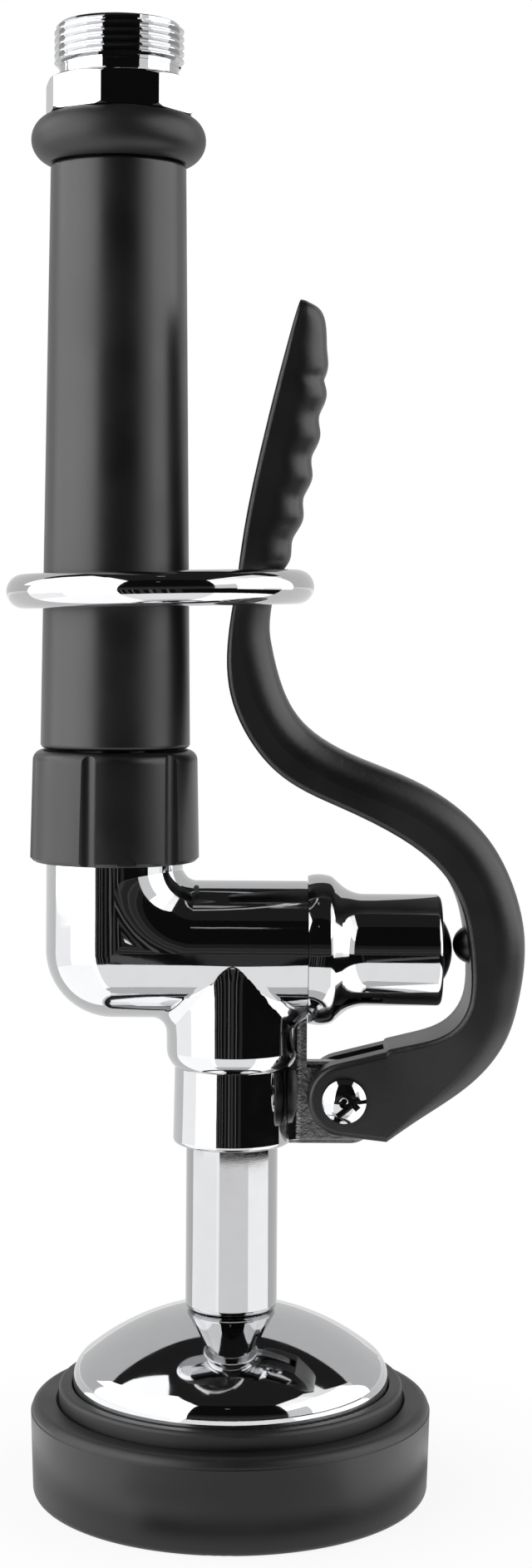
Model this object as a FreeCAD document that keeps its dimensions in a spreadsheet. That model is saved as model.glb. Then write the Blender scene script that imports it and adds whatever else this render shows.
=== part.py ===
import FreeCAD, Part
import Sketcher
import math
import os

from FreeCAD import Placement, Rotation, Vector

# Pre-rinse spray valve with a long grip, a bent squeeze lever and a bell spray head.
# Millimetres. The origin is the centre of the bumper's mouth, in the plane that the bumper
# stands on. The nozzle stands on the Z axis, the grip stands beside it towards -X, and the
# valve barrel and its plunger lie along X.

DIMENSIONS = (
    # Bumper, the rubber ring around the bell
    ("bumper_radius", 39.85),
    ("bumper_foot_radius", 39.35),
    ("bumper_height", 18.3),
    ("bumper_lip_radius", 34.3),
    ("bumper_lip_height", 21.5),
    ("bumper_mouth_radius", 33.0),
    ("bumper_mouth_depth", 4.9),
    ("bumper_foot_round", 1.5),
    ("bumper_shoulder_round", 1.8),
    ("bumper_bead", 0.2),
    ("bumper_groove_width", 0.6),
    ("bumper_groove_depth", 0.5),
    # Bell, its spray face and what holds the face
    ("bell_radius", 31.5),
    ("bell_crown_radius", 47.2),
    ("bell_shoulder_radius", 5.4),
    ("bell_shoulder_height", 22.3),
    ("bell_skirt_foot", 9.0),
    ("bell_wall", 1.6),
    ("hub_radius", 9.5),
    ("hub_length", 7.0),
    ("face_radius", 28.3),
    ("face_thickness", 1.2),
    ("face_height", 9.6),
    ("face_hole_radius", 0.9),
    ("face_ring_step", 6.0),
    ("face_screw_circle", 26.1),
    ("face_screw_radius", 1.2),
    ("face_screw_length", 8.0),
    ("face_boss_radius", 2.3),
    ("face_boss_top", 25.5),
    # Nozzle tube
    ("nozzle_radius", 9.15),
    ("nozzle_bore_radius", 7.0),
    ("nozzle_end_round", 1.05),
    ("nozzle_thread_radius", 6.0),
    ("nozzle_thread_bore", 4.5),
    ("nozzle_thread_length", 6.0),
    ("nozzle_socket_depth", 14.8),
    # Valve body
    ("barrel_height", 107.8),
    ("barrel_radius", 13.65),
    ("barrel_end", 14.85),
    ("elbow_inner_round", 3.0),
    ("outlet_radius", 13.1),
    ("outlet_top_radius", 13.56),
    ("outlet_drop", 24.3),
    ("outlet_shoulder_round", 4.5),
    ("outlet_blend", 3.0),
    ("sleeve_radius", 11.8),
    ("sleeve_top_radius", 11.5),
    ("sleeve_drop", 38.6),
    ("sleeve_foot_round", 1.0),
    ("web_thickness", 6.0),
    ("lug_thickness", 4.6),
    ("lug_rise", 6.7),
    ("lug_reach", 28.6),
    ("lug_edge_round", 1.2),
    ("lug_corner_round", 5.0),
    ("lug_root_round", 3.5),
    ("web_root_round", 2.5),
    ("spigot_radius", 12.7),
    ("spigot_shoulder", 19.2),
    ("spigot_length", 7.2),
    ("inlet_bore_radius", 8.0),
    ("inlet_chamber_radius", 8.6),
    ("inlet_chamber_end", 32.0),
    ("outlet_chamber_radius", 9.6),
    ("seat_shoulder", 13.0),
    ("seat_pocket_length", 5.0),
    # Valve train in the barrel
    ("seat_bush_length", 4.6),
    ("seat_hole_radius", 5.6),
    ("seat_lip_height", 0.6),
    ("stem_radius", 2.5),
    ("stem_collar_radius", 4.0),
    ("seat_disc_radius", 7.2),
    ("seat_disc_thickness", 3.0),
    ("disc_cup_radius", 7.9),
    ("disc_cup_base", 1.4),
    ("stem_nut_size", 4.2),
    ("stem_nut_length", 2.6),
    # Bonnet, its seals, the spring and the plunger cap
    ("bonnet_flange_radius", 15.0),
    ("bonnet_flange_length", 4.3),
    ("bonnet_flange_crown", 8.0),
    ("bonnet_flange_round", 2.2),
    ("bonnet_slope", 42.0),
    ("bonnet_neck_round", 7.0),
    ("bonnet_radius", 11.1),
    ("bonnet_reach", 26.75),
    ("bonnet_end_round", 1.0),
    ("bonnet_thread_radius", 10.1),
    ("bonnet_thread_length", 7.4),
    ("bonnet_seam", 0.1),
    ("gland_radius", 7.5),
    ("gland_depth", 9.5),
    ("gland_nut_length", 5.6),
    ("gland_wall", 2.5),
    ("stem_seal_thickness", 1.7),
    ("gasket_radius", 13.2),
    ("gasket_thickness", 0.8),
    ("plunger_radius", 6.9),
    ("plunger_length", 6.2),
    ("plunger_dome_radius", 10.8),
    ("plunger_face_radius", 6.6),
    ("spring_radius", 4.9),
    ("spring_wire", 1.0),
    ("spring_turns", 7.0),
    # Lever and its pivot
    ("pivot_reach", 22.2),
    ("pivot_drop", 28.9),
    ("pivot_screw_radius", 2.0),
    ("pivot_head_radius", 4.35),
    ("pivot_head_height", 2.5),
    ("recess_arm", 2.8),
    ("recess_width", 1.2),
    ("recess_depth", 1.3),
    ("recess_overrun", 0.3),
    ("recess_turn", 40.0),
    ("pivot_nut_size", 4.0),
    ("pivot_nut_thickness", 2.5),
    ("pivot_bush_wall", 1.0),
    ("pivot_washer_radius", 4.6),
    ("pivot_washer_thickness", 0.3),
    ("fork_width", 15.5),
    ("lever_width", 18.0),
    ("lever_edge_round", 1.0),
    ("fork_edge_round", 1.2),
    ("fork_slot_width", 5.4),
    ("fork_radius", 7.3),
    ("fork_slot_reach", 8.05),
    ("lever_corner_round", 6.2),
    ("ridge_pitch", 8.2),
    ("ridge_height", 0.45),
    ("pad_radius", 3.85),
    ("pad_height", 3.1),
    ("pad_sink", 0.3),
    ("pad_height_over_axis", 1.2),
    ("pad_stand_off", 0.13),
    ("pad_stem_radius", 1.7),
    ("pad_stem_length", 2.8),
    # Coupling nut, riser tube, grip and hose adapter, all on the grip's axis
    ("grip_offset", 23.85),
    ("nut_height", 22.2),
    ("nut_radius", 16.9),
    ("nut_top_radius", 16.5),
    ("nut_top_round", 2.2),
    ("nut_skirt", 1.6),
    ("nut_flute_radius", 2.2),
    ("nut_flute_depth", 1.1),
    ("nut_flute_angle", -105.0),
    ("nut_mark_radius", 2.0),
    ("nut_mark_depth", 0.4),
    ("nut_mark_angle", 11.5),
    ("washer_thickness", 1.5),
    ("riser_radius", 9.0),
    ("riser_bore_radius", 7.0),
    ("tail_flange_radius", 12.4),
    ("tail_flange_thickness", 2.4),
    ("grip_length", 116.7),
    ("grip_bottom_radius", 14.97),
    ("grip_top_radius", 13.57),
    ("grip_edge_round", 0.9),
    ("collar_radius", 17.5),
    ("collar_height", 9.6),
    ("shank_radius", 11.5),
    ("shank_length", 17.0),
    ("flange_corner_radius", 15.1),
    ("flange_turn", 34.5),
    ("flange_height", 7.5),
    ("flange_chamfer", 1.2),
    ("thread_radius", 13.0),
    ("thread_pitch", 1.5),
    ("thread_depth", 0.92),
    ("thread_chamfer", 1.1),
    ("thread_sink", 0.1),
    ("thread_length", 8.7),
    ("relief_radius", 11.9),
    ("relief_length", 2.0),
    ("adapter_bore_radius", 6.5),
    # Hold-open ring
    ("ring_radius", 27.35),
    ("ring_wire_radius", 3.45),
    ("ring_offset", 14.95),
    ("ring_rise", 31.8),
    ("ring_tilt", 1.3),
    # Clearances
    ("fit_gap", 0.05),
    ("seat_gap", 0.1),
    ("part_gap", 0.3),
)

FLANGE_SIDES = 8
NUT_LOBES = 6
FACE_RINGS = 3
FACE_SCREWS = 3


class Size:
    """A number together with the spreadsheet expression that gives it."""

    def __init__(self, value, text):
        self.value = float(value)
        self.text = text

    def __add__(self, other):
        other = as_size(other)
        return Size(self.value + other.value, f"({self.text} + {other.text})")

    def __sub__(self, other):
        other = as_size(other)
        return Size(self.value - other.value, f"({self.text} - {other.text})")

    def __mul__(self, other):
        other = as_size(other)
        return Size(self.value * other.value, f"({self.text} * {other.text})")

    def __truediv__(self, other):
        other = as_size(other)
        return Size(self.value / other.value, f"({self.text} / {other.text})")

    def __neg__(self):
        return Size(-self.value, f"(0 - {self.text})")

    def __radd__(self, other):
        return as_size(other) + self

    def __rsub__(self, other):
        return as_size(other) - self

    def __rmul__(self, other):
        return as_size(other) * self

    def root(self):
        return Size(math.sqrt(self.value), f"sqrt({self.text})")


def as_size(number):
    if isinstance(number, Size):
        return number
    return Size(number, f"{float(number):.6f}")


class Sizes:
    """The driving dimensions, each as an attribute."""


doc = FreeCAD.newDocument("SprayValve")
sheet = doc.addObject("Spreadsheet::Sheet", "Dimensions")
d = Sizes()
for row, (alias, number) in enumerate(DIMENSIONS, start=1):
    sheet.set(f"A{row}", alias)
    sheet.set(f"B{row}", str(number))
    sheet.setAlias(f"B{row}", alias)
    setattr(d, alias, Size(number, f"Dimensions.{alias}"))
doc.recompute()

nodes = []


def bind(thing, prop, amount):
    """Set a property and tie it to the sheet."""
    thing.setExpression(prop, as_size(amount).text)


def node(thing, name):
    """Name a finished sub-part and list it for export."""
    thing.Label = name
    nodes.append(thing)
    return thing


TURN_TO = {
    "Z": Rotation(),
    "X": Rotation(Vector(0, 1, 0), 90),
    "Y": Rotation(Vector(1, 0, 0), -90),
}


def place(thing, at=(0, 0, 0), along="Z", turn=None):
    """Put a thing's own origin at a point and its own Z along an axis."""
    thing.Placement = Placement(Vector(), turn or TURN_TO[along])
    for letter, amount in zip("xyz", at):
        bind(thing, f"Placement.Base.{letter}", amount)
    return thing


def solid(kind, name, sizes, at=(0, 0, 0), along="Z", turn=None):
    """A Part primitive with its sizes and place tied to the sheet."""
    thing = doc.addObject(kind, name)
    for prop, amount in sizes.items():
        bind(thing, prop, amount)
    return place(thing, at, along, turn)


def cylinder(name, radius, height, at=(0, 0, 0), along="Z"):
    return solid("Part::Cylinder", name, {"Radius": radius, "Height": height}, at, along)


def box(name, length, width, height, at):
    return solid("Part::Box", name, {"Length": length, "Width": width, "Height": height}, at)


def prism(name, sides, corner_radius, height, at=(0, 0, 0), along="Z", turn=None):
    thing = solid("Part::Prism", name, {"Circumradius": corner_radius, "Height": height},
                  at, along, turn)
    thing.Polygon = sides
    return thing


def fuse(name, things):
    thing = doc.addObject("Part::MultiFuse", name)
    thing.Shapes = things
    thing.Refine = False
    return thing


def common(name, first, second):
    thing = doc.addObject("Part::MultiCommon", name)
    thing.Shapes = [first, second]
    return thing


def cut(name, base, tools):
    """Cut one tool, or several fused together, out of a base."""
    tool = tools[0] if len(tools) == 1 else fuse(name + "_tools", tools)
    thing = doc.addObject("Part::Cut", name)
    thing.Base = base
    thing.Tool = tool
    thing.Refine = False
    doc.recompute()
    if thing.Shape.Volume > base.Shape.Volume - 0.01:
        raise ValueError(f"{name} cuts nothing")
    return thing


def rounded(name, base, amount, wanted):
    """Fillet the edges of a base that the test accepts."""
    doc.recompute()
    picked = [i for i, edge in enumerate(base.Shape.Edges, start=1) if wanted(edge)]
    if not picked:
        raise ValueError(f"{name} finds no edge")
    thing = doc.addObject("Part::Fillet", name)
    thing.Base = base
    radius = as_size(amount).value
    thing.Edges = [(i, radius, radius) for i in picked]
    return thing


def wave(function, angle):
    """The sine or cosine of an angle of the sheet."""
    turn = math.radians(angle.value)
    return Size(getattr(math, function)(turn), f"{function}({angle.text} * 1deg)")


def origin_plane(body, role):
    return [part for part in body.Origin.OriginFeatures if part.Role == role][0]


def profile(body, plane, outline):
    """A closed sketch. Each entry is a corner (x, y), or (x, y, radius) where an arc runs to
    it from the corner before: a positive radius turns left, a negative one turns right."""
    sketch = body.newObject("Sketcher::SketchObject", body.Name + "_profile")
    sketch.AttachmentSupport = [(origin_plane(body, plane), "")]
    sketch.MapMode = "FlatFace"
    corners = [(as_size(entry[0]), as_size(entry[1])) for entry in outline]
    points = [Vector(x.value, y.value, 0) for x, y in corners]
    count = len(outline)
    ends = []
    for i in range(count):
        start, end = points[i], points[(i + 1) % count]
        bend = outline[(i + 1) % count][2:]
        if not bend:
            ends.append((sketch.addGeometry(Part.LineSegment(start, end)), 1, 2))
            continue
        radius = as_size(bend[0])
        size = abs(radius.value)
        left = radius.value > 0
        chord = end - start
        side = Vector(-chord.y, chord.x, 0).normalize() * (1 if left else -1)
        centre = (start + end) * 0.5 + side * math.sqrt(size ** 2 - (chord.Length / 2) ** 2)
        first, last = (start, end) if left else (end, start)
        angles = [math.atan2(p.y - centre.y, p.x - centre.x) for p in (first, last)]
        circle = Part.Circle(centre, Vector(0, 0, 1), size)
        edge = sketch.addGeometry(Part.ArcOfCircle(circle, *angles))
        ends.append((edge, 1, 2) if left else (edge, 2, 1))
        rule = sketch.addConstraint(Sketcher.Constraint("Radius", edge, size))
        shown = radius if left else -radius
        sketch.setExpression(f"Constraints[{rule}]", shown.text)
    for i in range(count):
        edge, begin, _ = ends[i]
        before, _, finish = ends[i - 1]
        sketch.addConstraint(Sketcher.Constraint("Coincident", before, finish, edge, begin))
        for kind, amount in zip(("DistanceX", "DistanceY"), corners[i]):
            rule = sketch.addConstraint(
                Sketcher.Constraint(kind, -1, 1, edge, begin, amount.value))
            sketch.setExpression(f"Constraints[{rule}]", amount.text)
    return sketch


def turned(name, outline, at=(0, 0, 0), along="Z"):
    """A body turned about its own Z from an outline of (radius, height) corners."""
    body = doc.addObject("PartDesign::Body", name)
    sketch = profile(body, "XZ_Plane", outline)
    revolution = body.newObject("PartDesign::Revolution", name + "_turned")
    revolution.Profile = sketch
    revolution.ReferenceAxis = (sketch, ["V_Axis"])
    revolution.Angle = 360
    return place(body, at, along)


def ring(name, inner, outer, height, at=(0, 0, 0), along="Z"):
    """A plain turned ring with a square section."""
    return turned(name, [(inner, 0), (outer, 0), (outer, height), (inner, height)], at, along)


def plate(name, outline, thickness, at=(0, 0, 0)):
    """A flat plate in the XZ plane, as thick to the front as to the back."""
    body = doc.addObject("PartDesign::Body", name)
    pad = body.newObject("PartDesign::Pad", name + "_pad")
    pad.Profile = profile(body, "XZ_Plane", outline)
    pad.SideType = "Symmetric"
    bind(pad, "Length", thickness)
    return place(body, at)


def pocket_ring(body, name, radius, distance, angle, count):
    """Round pockets right through a body, evenly spaced about its own Z."""
    doc.recompute()
    before = body.Shape.Volume
    sketch = body.newObject("Sketcher::SketchObject", name + "_hole")
    sketch.AttachmentSupport = [(origin_plane(body, "XY_Plane"), "")]
    sketch.MapMode = "FlatFace"
    radius, distance = as_size(radius), as_size(distance)
    turn = math.radians(as_size(angle).value)
    centre = Vector(math.cos(turn), math.sin(turn), 0) * distance.value
    hole = sketch.addGeometry(Part.Circle(centre, Vector(0, 0, 1), radius.value))
    rule = sketch.addConstraint(Sketcher.Constraint("Radius", hole, radius.value))
    sketch.setExpression(f"Constraints[{rule}]", radius.text)
    for kind, way, where in (("DistanceX", "cos", centre.x), ("DistanceY", "sin", centre.y)):
        rule = sketch.addConstraint(Sketcher.Constraint(kind, -1, 1, hole, 3, where))
        text = f"{distance.text} * {way}({as_size(angle).text} * 1deg)"
        sketch.setExpression(f"Constraints[{rule}]", text)
    pocket = body.newObject("PartDesign::Pocket", name)
    pocket.Profile = sketch
    pocket.Type = "ThroughAll"
    pocket.SideType = "Symmetric"
    if count > 1:
        pattern = body.newObject("PartDesign::PolarPattern", name + "_pattern")
        pattern.Originals = [pocket]
        pattern.Axis = (origin_plane(body, "Z_Axis"), [""])
        pattern.Angle = 360
        pattern.Occurrences = count
        body.Tip = pattern
    doc.recompute()
    if body.Shape.Volume > before - 0.001:
        raise ValueError(f"{name} cuts nothing")



# Places that several pieces share

outlet_shoulder = d.barrel_height - d.outlet_drop
sleeve_foot = d.barrel_height - d.sleeve_drop
pivot_height = d.barrel_height - d.pivot_drop
spigot_top = d.barrel_height + d.spigot_shoulder + d.spigot_length
nut_foot = d.barrel_height + d.spigot_shoulder - d.nut_skirt + d.seat_gap
nut_top = nut_foot + d.nut_height
tail_flange_foot = spigot_top + d.washer_thickness + d.fit_gap * 2
grip_foot = nut_top + d.part_gap
grip_top = grip_foot + d.grip_length
collar_foot = grip_top + d.seat_gap
flange_foot = collar_foot + d.collar_height + d.seat_gap
flange_top = flange_foot + d.flange_height
thread_top = flange_top + d.relief_length + d.thread_length
shank_foot = flange_foot - d.shank_length
bonnet_face = d.barrel_end + d.bonnet_seam
bonnet_end = d.barrel_end + d.bonnet_reach
gland_wall_start = bonnet_face - d.bonnet_thread_length + d.gland_depth
spring_start = gland_wall_start + d.gland_wall
plunger_face = bonnet_end
plunger_tip = plunger_face + d.plunger_dome_radius - (
    d.plunger_dome_radius * d.plunger_dome_radius
    - d.plunger_face_radius * d.plunger_face_radius).root()
plunger_foot = plunger_face - d.plunger_length
lever_face = plunger_tip + d.pad_stand_off + d.pad_height
grip_axis = -d.grip_offset

# The bell's outline is a crown arc about a point on the axis, then a shoulder arc
shoulder_centre_radius = d.bell_radius - d.bell_shoulder_radius
arc_difference = d.bell_crown_radius - d.bell_shoulder_radius
crown_rise = (arc_difference * arc_difference
              - shoulder_centre_radius * shoulder_centre_radius).root()
crown_centre = d.bell_shoulder_height - crown_rise


def crown_height(radius, inset=0):
    """Height of the bell's crown at a radius, on a surface set in from the outer one."""
    size = d.bell_crown_radius - inset
    return crown_centre + (size * size - radius * radius).root()


bell_seat_radius = d.nozzle_radius - d.nozzle_end_round
nozzle_foot = crown_height(bell_seat_radius)
nozzle_top = sleeve_foot + d.nozzle_socket_depth - d.seat_gap


def make_bumper():
    """Rubber ring with a bead below its shoulder, a groove round its raised lip and a ledge
    under the bell's skirt."""
    inner = d.bell_radius + d.fit_gap * 2
    ledge = d.bell_skirt_foot - d.seat_gap
    ledge_radius = d.bell_radius - d.bell_wall
    top = d.bumper_height
    bead = d.bumper_bead
    shoulder_foot = top - d.bumper_shoulder_round
    body = turned("bumper", [
        (d.bumper_mouth_radius, 0),
        (d.bumper_foot_radius - d.bumper_foot_round, 0),
        (d.bumper_foot_radius, d.bumper_foot_round, d.bumper_foot_round + 0.05),
        (d.bumper_radius, shoulder_foot - bead),
        (d.bumper_radius - bead, shoulder_foot),
        (d.bumper_radius - bead - d.bumper_shoulder_round, top, d.bumper_shoulder_round),
        (d.bumper_lip_radius + d.bumper_groove_width, top),
        (d.bumper_lip_radius, top - d.bumper_groove_depth),
        (d.bumper_lip_radius, d.bumper_lip_height - 0.8),
        (d.bumper_lip_radius - 0.8, d.bumper_lip_height, 0.8),
        (inner + 0.6, d.bumper_lip_height),
        (inner, d.bumper_lip_height - 0.6, 0.6),
        (inner, ledge),
        (ledge_radius, ledge),
        (ledge_radius, ledge - 2.3),
        (d.bumper_mouth_radius, d.bumper_mouth_depth),
    ])
    return node(body, "bumper")


def make_spray_bell():
    """Chromed shell with a threaded hub inside its crown and bosses for the face screws."""
    ratio = d.bell_crown_radius / arc_difference
    joint_radius = shoulder_centre_radius * ratio
    joint_height = crown_centre + crown_rise * ratio
    inner_ratio = (d.bell_crown_radius - d.bell_wall) / arc_difference
    inner_joint_radius = shoulder_centre_radius * inner_ratio
    inner_joint_height = crown_centre + crown_rise * inner_ratio
    inner_radius = d.bell_radius - d.bell_wall
    hub_hole = d.nozzle_thread_radius + d.fit_gap
    hub_foot = nozzle_foot - d.hub_length
    shell = turned("bell_shell", [
        (hub_hole, nozzle_foot),
        (hub_hole, hub_foot),
        (d.hub_radius, hub_foot),
        (d.hub_radius, crown_height(d.hub_radius, d.bell_wall)),
        (inner_joint_radius, inner_joint_height, -(d.bell_crown_radius - d.bell_wall)),
        (inner_radius, d.bell_shoulder_height, -(d.bell_shoulder_radius - d.bell_wall)),
        (inner_radius, d.bell_skirt_foot),
        (d.bell_radius, d.bell_skirt_foot),
        (d.bell_radius, d.bell_shoulder_height),
        (joint_radius, joint_height, d.bell_shoulder_radius),
        (bell_seat_radius, nozzle_foot, d.bell_crown_radius),
    ])
    foot = d.face_height + d.face_thickness + d.fit_gap
    bosses = []
    holes = []
    for k in range(FACE_SCREWS):
        turn = math.radians(90 + 360 / FACE_SCREWS * k)
        at = (d.face_screw_circle * math.cos(turn), d.face_screw_circle * math.sin(turn), foot)
        length = d.face_boss_top - foot
        bosses.append(cylinder(f"bell_boss_{k}", d.face_boss_radius, length, at))
        holes.append(cylinder(f"bell_boss_hole_{k}", d.face_screw_radius + d.fit_gap,
                              d.face_screw_length, at))
    bell = cut("bell_drilled", fuse("bell_with_bosses", [shell, *bosses]), holes)
    return node(bell, "spray_bell")


def make_face_parts():
    """Perforated face plate, the seal around it and the screws that hold it to the bell."""
    body = ring("spray_face", 0, d.face_radius, d.face_thickness, (0, 0, d.face_height))
    pocket_ring(body, "centre_hole", d.face_hole_radius, 0, 0, 1)
    for k in range(1, FACE_RINGS + 1):
        pocket_ring(body, f"hole_ring_{k}", d.face_hole_radius, d.face_ring_step * k, 0, 6 * k)
    pocket_ring(body, "screw_holes", d.face_screw_radius + d.fit_gap, d.face_screw_circle,
                90, FACE_SCREWS)
    node(body, "spray_face")
    seal = ring("face_seal", d.face_radius + d.fit_gap,
                d.bell_radius - d.bell_wall - d.fit_gap, d.face_thickness,
                (0, 0, d.face_height))
    node(seal, "face_seal")
    head_height = 1.5
    head_radius = 2.2
    screws = []
    for k in range(FACE_SCREWS):
        turn = math.radians(90 + 360 / FACE_SCREWS * k)
        at = (d.face_screw_circle * math.cos(turn), d.face_screw_circle * math.sin(turn),
              d.face_height - head_height - d.fit_gap)
        shank = head_height + d.fit_gap + d.face_screw_length * 0.9
        screw = turned(f"face_screw_{k}", [
            (0, 0), (head_radius - 0.6, 0), (head_radius, 0.6), (head_radius, head_height),
            (d.face_screw_radius, head_height), (d.face_screw_radius, shank), (0, shank),
        ], at)
        screws.append(screw)
    node(fuse("face_screw_set", screws), "face_screws")


def make_nozzle_parts():
    """Straight chromed tube between the valve body and the bell, with its seal ring."""
    bottom = nozzle_foot + d.fit_gap
    length = nozzle_top - bottom
    groove_foot = length - 4.5
    groove_top = groove_foot + 1.8
    groove_radius = d.nozzle_radius - 1.1
    thread = d.nozzle_thread_length
    body = turned("nozzle_tube", [
        (d.nozzle_thread_bore, 0),
        (d.nozzle_thread_radius, 0),
        (d.nozzle_thread_radius, thread),
        (bell_seat_radius, thread),
        (d.nozzle_radius, thread + d.nozzle_end_round, d.nozzle_end_round + 0.02),
        (d.nozzle_radius, thread + groove_foot),
        (groove_radius, thread + groove_foot),
        (groove_radius, thread + groove_top),
        (d.nozzle_radius, thread + groove_top),
        (d.nozzle_radius, thread + length),
        (d.nozzle_bore_radius, thread + length),
        (d.nozzle_bore_radius, thread + 2.5),
        (d.nozzle_thread_bore, thread + 1.0),
    ], (0, 0, bottom - thread))
    node(body, "nozzle_tube")
    seal = ring("nozzle_seal", groove_radius + d.fit_gap, d.nozzle_radius + d.fit_gap / 2,
                groove_top - groove_foot - d.fit_gap * 2,
                (0, 0, bottom + groove_foot + d.fit_gap))
    node(seal, "nozzle_seal")


def root_fillet(name, radius, thickness, blend, foot, top):
    """Casting fillet on both sides of a plate that grows out of a round column."""
    side = thickness / 2 + blend
    reach = radius + blend
    along = (reach * reach - side * side).root()
    share = radius / reach
    body = doc.addObject("PartDesign::Body", name)
    pad = body.newObject("PartDesign::Pad", name + "_pad")
    pad.Profile = profile(body, "XY_Plane", [
        (along * share, -(side * share)),
        (along, -(thickness / 2), -blend),
        (along, thickness / 2),
        (along * share, side * share, -blend),
    ])
    bind(pad, "Length", top - foot)
    return place(body, (0, 0, foot))


def make_valve_body():
    """One casting: inlet tube, elbow, barrel, outlet, sleeve, web and the lever's lug."""
    axis = d.barrel_height
    sweep = d.barrel_radius + d.elbow_inner_round
    shoulder = axis + d.spigot_shoulder
    inlet = cylinder("body_inlet", d.barrel_radius, d.spigot_shoulder, (grip_axis, 0, axis))
    barrel = solid("Part::Cylinder", "body_barrel",
                   {"Radius": d.barrel_radius, "Height": d.barrel_end + d.grip_offset},
                   (grip_axis, 0, axis), turn=Rotation(Vector(1, 0, 1), 180))
    ball = solid("Part::Sphere", "body_elbow_back", {"Radius": d.barrel_radius},
                 (grip_axis, 0, axis))
    elbow = solid("Part::Torus", "body_elbow",
                  {"Radius1": sweep, "Radius2": d.barrel_radius - 0.02, "Angle3": 90},
                  (grip_axis + sweep, 0, axis + sweep),
                  turn=Rotation(Vector(-1, 0, 0), Vector(0, 0, -1), Vector(0, -1, 0), "ZXY"))
    outlet = solid("Part::Cone", "body_outlet",
                   {"Radius1": d.outlet_radius, "Radius2": d.outlet_top_radius,
                    "Height": axis - outlet_shoulder}, (0, 0, outlet_shoulder))
    hull = fuse("body_hull", [inlet, barrel, ball, elbow, outlet])
    low, high = outlet_shoulder.value + 2, axis.value - 0.05
    reach = d.outlet_top_radius.value + 0.3

    def where_outlet_meets_barrel(edge):
        span = edge.BoundBox
        return -reach < span.XMin and span.XMax < reach and low < span.ZMin and span.ZMax < high

    blended = rounded("body_blended", hull, d.outlet_blend, where_outlet_meets_barrel)

    def outlet_rim(edge):
        span = edge.BoundBox
        flat = span.ZLength < 0.01 and abs(span.ZMin - outlet_shoulder.value) < 0.01
        return flat and edge.Length > 6 * d.outlet_radius.value

    blended = rounded("body_rim_rounded", blended, d.outlet_shoulder_round, outlet_rim)
    sleeve_top = outlet_shoulder + 4
    sleeve = turned("body_sleeve", [
        (0, 0),
        (d.sleeve_radius - d.sleeve_foot_round, 0),
        (d.sleeve_radius, d.sleeve_foot_round, d.sleeve_foot_round),
        (d.sleeve_top_radius, sleeve_top - sleeve_foot),
        (0, sleeve_top - sleeve_foot),
    ], (0, 0, sleeve_foot))
    lug_top = pivot_height + d.lug_rise
    corner = d.lug_corner_round
    lug = plate("body_lug", [
        (2, sleeve_foot),
        (d.lug_reach - corner, sleeve_foot),
        (d.lug_reach, sleeve_foot + corner, corner),
        (d.lug_reach, lug_top - corner),
        (d.lug_reach - corner, lug_top, corner),
        (2, lug_top),
    ], d.lug_thickness)

    def lug_outline(edge):
        span = edge.BoundBox
        flat = span.YLength < 0.01 and abs(abs(span.YMin) - d.lug_thickness.value / 2) < 0.01
        return flat and span.XMax > 2.1

    lug = rounded("body_lug_softened", lug, d.lug_edge_round, lug_outline)
    web = plate("body_web", [
        (2, lug_top - 1.5),
        (d.barrel_end - 1, lug_top - 1.5),
        (d.barrel_end, lug_top - 0.5, 1.0),
        (d.barrel_end, axis - 4),
        (2, axis - 4),
    ], d.web_thickness)
    roots = [
        root_fillet("body_lug_root", d.sleeve_top_radius, d.lug_thickness, d.lug_root_round,
                    sleeve_foot + d.sleeve_foot_round, lug_top - 1),
        root_fillet("body_web_root", d.outlet_radius, d.web_thickness, d.web_root_round,
                    outlet_shoulder + d.outlet_shoulder_round, axis - d.barrel_radius / 2),
    ]
    spigot = cylinder("body_spigot", d.spigot_radius, d.spigot_length, (grip_axis, 0, shoulder))
    whole = fuse("body_whole", [blended, sleeve, lug, web, spigot, *roots])
    chamber_end = -(d.seat_shoulder - d.seat_pocket_length)
    bonnet_thread = d.bonnet_thread_length + d.seat_gap - d.bonnet_seam
    screw_bore = d.pivot_screw_radius + d.fit_gap + d.pivot_bush_wall + d.fit_gap
    tools = [
        cylinder("inlet_bore", d.inlet_bore_radius, d.spigot_shoulder + d.spigot_length + 1,
                 (grip_axis, 0, axis)),
        cylinder("inlet_chamber", d.inlet_chamber_radius, d.inlet_chamber_end + chamber_end,
                 (-d.inlet_chamber_end, 0, axis), "X"),
        cylinder("seat_pocket", d.inlet_chamber_radius + 0.6, d.seat_pocket_length + 1,
                 (-d.seat_shoulder, 0, axis), "X"),
        cylinder("outlet_chamber", d.outlet_chamber_radius, d.barrel_end + 1 - chamber_end,
                 (chamber_end, 0, axis), "X"),
        cylinder("bonnet_thread_bore", d.bonnet_thread_radius + d.fit_gap, bonnet_thread + 1,
                 (d.barrel_end - bonnet_thread, 0, axis), "X"),
        cylinder("outlet_bore", d.nozzle_bore_radius, axis - sleeve_foot,
                 (0, 0, sleeve_foot)),
        cylinder("nozzle_socket", d.nozzle_radius + d.fit_gap, d.nozzle_socket_depth + 1,
                 (0, 0, sleeve_foot - 1)),
        cylinder("pivot_bore", screw_bore, d.lug_thickness * 2,
                 (d.pivot_reach, -d.lug_thickness, pivot_height), "Y"),
    ]
    return node(cut("body_bored", whole, tools), "valve_body")


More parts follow.
